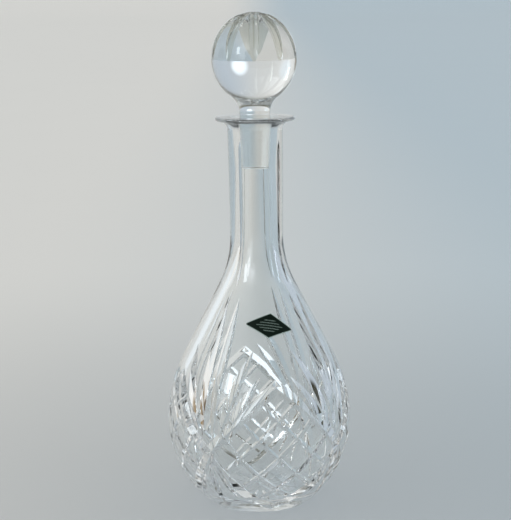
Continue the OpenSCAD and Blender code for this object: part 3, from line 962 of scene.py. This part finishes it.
def makeSweep():
    rings, spokes = studio["rings"], studio["spokes"]
    verts, faces = [(0, 0, 0)], []
    for k in range(rings):
        t = (k + 1) / rings
        if t < 0.5:
            r, z = studio["flat"] * t * 2, 0
        else:
            a = (t - 0.5) * math.pi
            r, z = studio["flat"] + studio["bend"] * math.sin(a), studio["rise"] * (1 - math.cos(a))
        angles = [j * 2 * math.pi / spokes for j in range(spokes)]
        verts += [(r * math.cos(v), r * math.sin(v), z) for v in angles]
    for j in range(spokes):
        faces.append((0, 1 + j, 1 + (j + 1) % spokes))
        for k in range(rings - 1):
            a, b = 1 + k * spokes + j, 1 + k * spokes + (j + 1) % spokes
            faces.append((a, a + spokes, b + spokes, b))
    obj = meshObject("studioSweep", verts, [], faces, 1)
    obj.data.shade_smooth()
    # the paper's colour holds painted shade and painted light as well as its own fibre
    mat, add, link = nodesOf("palePaperPaintedShading")
    where = add("ShaderNodeTexCoord").outputs["Object"]

    def ramp(value, low, high):
        node = add("ShaderNodeMapRange")
        node.interpolation_type = "SMOOTHSTEP"
        node.inputs["From Min"].default_value, node.inputs["From Max"].default_value = low, high
        link(value, node.inputs["Value"])
        return node.outputs["Result"]

    def mixed(factor, a, b, kind="MIX"):
        node = add("ShaderNodeMix")
        node.data_type, node.blend_type = "RGBA", kind
        for key, v in (("Factor", factor), ("A", a), ("B", b)):
            if isinstance(v, (tuple, float)):
                node.inputs[key].default_value = v
            else:
                link(v, node.inputs[key])
        return node.outputs["Result"]
    reach = add("ShaderNodeVectorMath")
    reach.operation = "LENGTH"
    link(where, reach.inputs[0])
    across = add("ShaderNodeVectorMath")      # distance to the right of the line of sight
    across.operation = "DOT_PRODUCT"
    link(where, across.inputs[0])
    across.inputs[1].default_value = (cosDeg(studio["paperTurn"]), sinDeg(studio["paperTurn"]), 0)
    grain = add("ShaderNodeTexNoise")
    grain.inputs["Scale"].default_value = 2.5
    grain.inputs["Detail"].default_value = 4
    link(where, grain.inputs["Vector"])
    # painted shade: darker near the bottle, lighter far off
    tone = mixed(ramp(reach.outputs["Value"], *studio["paintedShadeReach"]),
                 studio["paperNearPaintedShade"], studio["paperFar"])
    # painted light on the left and painted shade on the right
    side = mixed(ramp(across.outputs["Value"], *studio["paintedSideLightSpan"]),
                 studio["paperLeftPaintedLight"], studio["paperRightPaintedShade"])
    fibre = mixed(grain.outputs["Fac"], (0.985, 0.985, 0.985, 1), (1.0, 1.0, 1.0, 1))
    tone = mixed(1.0, mixed(1.0, tone, side, "MULTIPLY"), fibre, "MULTIPLY")
    paper = add("ShaderNodeBsdfPrincipled")
    paper.inputs["Roughness"].default_value = 0.9
    link(tone, paper.inputs["Base Color"])
    link(paper.outputs["BSDF"], add("ShaderNodeOutputMaterial").inputs["Surface"])
    obj.data.materials.append(mat)


# Softbox: gives the glass its highlights and leaves the paper to the even light of the room
def softbox(light):
    data = bpy.data.lights.new(light["name"], "AREA")
    data.shape, (data.size, data.size_y) = "RECTANGLE", light["size"]
    data.energy, data.color = light["watts"], light["colour"]
    obj = bpy.data.objects.new(light["name"], data)
    scene.collection.objects.link(obj)
    obj.location = light["at"]
    obj.visible_camera = obj.visible_diffuse = False
    aim = Vector(light["towards"]) - Vector(light["at"])
    obj.rotation_euler = aim.to_track_quat("-Z", "Y").to_euler()


# Room light: a pale room, warmer on the left and cooler on the right, with soft dark and bright patches
def makeWorld():
    world = bpy.data.worlds.new("roomLight")
    world.use_nodes = True
    scene.world = world
    add, link = world.node_tree.nodes.new, world.node_tree.links.new
    back = world.node_tree.nodes["Background"]
    where = add("ShaderNodeTexCoord").outputs["Generated"]
    colour = None
    for i, patch in enumerate(studio["room"]):
        if not i:
            colour = add("ShaderNodeRGB").outputs["Color"]
            colour.default_value = (*patch["colour"], 1)
            continue
        towards = add("ShaderNodeVectorMath")
        towards.operation = "DOT_PRODUCT"
        link(where, towards.inputs[0])
        towards.inputs[1].default_value = unit(patch["towards"])
        spread = add("ShaderNodeMapRange")
        spread.interpolation_type = "SMOOTHSTEP"
        spread.inputs["From Min"].default_value = cosDeg(patch["edge"])
        spread.inputs["From Max"].default_value = cosDeg(patch["full"])
        link(towards.outputs["Value"], spread.inputs["Value"])
        mix = add("ShaderNodeMix")
        mix.data_type = "RGBA"
        link(spread.outputs["Result"], mix.inputs["Factor"])
        link(colour, mix.inputs["A"])
        mix.inputs["B"].default_value = (*patch["colour"], 1)
        colour = mix.outputs["Result"]
    # the glass sees the patches, but the light that falls on the paper is even
    even = add("ShaderNodeMix")
    even.data_type = "RGBA"
    even.inputs["B"].default_value = (*studio["skylight"], 1)
    link(add("ShaderNodeLightPath").outputs["Is Diffuse Ray"], even.inputs["Factor"])
    link(colour, even.inputs["A"])
    link(even.outputs["Result"], back.inputs["Color"])


camera = {                     # metres, degrees and millimetres of lens
    "away": 1.1, "azimuth": -11.7, "height": 0.3603, "pitch": -9.8, "roll": 0.83, "aim": 0.053,
    "lens": 111.8, "sensor": 36, "clip": (0.01, 20),
}


def makeCamera():
    c = camera
    azimuth, pitch, roll = c["azimuth"], c["pitch"], c["roll"]
    place = Vector((c["away"] * sinDeg(azimuth), -c["away"] * cosDeg(azimuth), c["height"]))
    heading = -azimuth - c["aim"]
    ahead = Vector((sinDeg(heading) * cosDeg(pitch), cosDeg(heading) * cosDeg(pitch), sinDeg(pitch)))
    right = ahead.cross(Vector((0, 0, 1))).normalized()
    up = right.cross(ahead)
    tilted = right * cosDeg(roll) - up * sinDeg(roll)
    up = up * cosDeg(roll) + right * sinDeg(roll)
    data = bpy.data.cameras.new("camera")
    data.lens, data.sensor_width = c["lens"], c["sensor"]
    data.clip_start, data.clip_end = c["clip"]
    cam = bpy.data.objects.new("camera", data)
    scene.collection.objects.link(cam)
    turn = Matrix((tilted, up, -ahead)).transposed()
    cam.matrix_world = Matrix.Translation(place) @ turn.to_4x4()
    scene.camera = cam


print("stage, light and camera")
makeSweep()
makeWorld()
for card in studio["cards"]:
    darkCard(card)
for light in studio["lights"]:
    softbox(light)
makeCamera()
scene.view_settings.view_transform = "Standard"
cycles = scene.cycles          # light has to get through many faces of glass
cycles.max_bounces = cycles.transmission_bounces = cycles.transparent_max_bounces = 32
cycles.glossy_bounces = 12
cycles.caustics_refractive = cycles.caustics_reflective = False
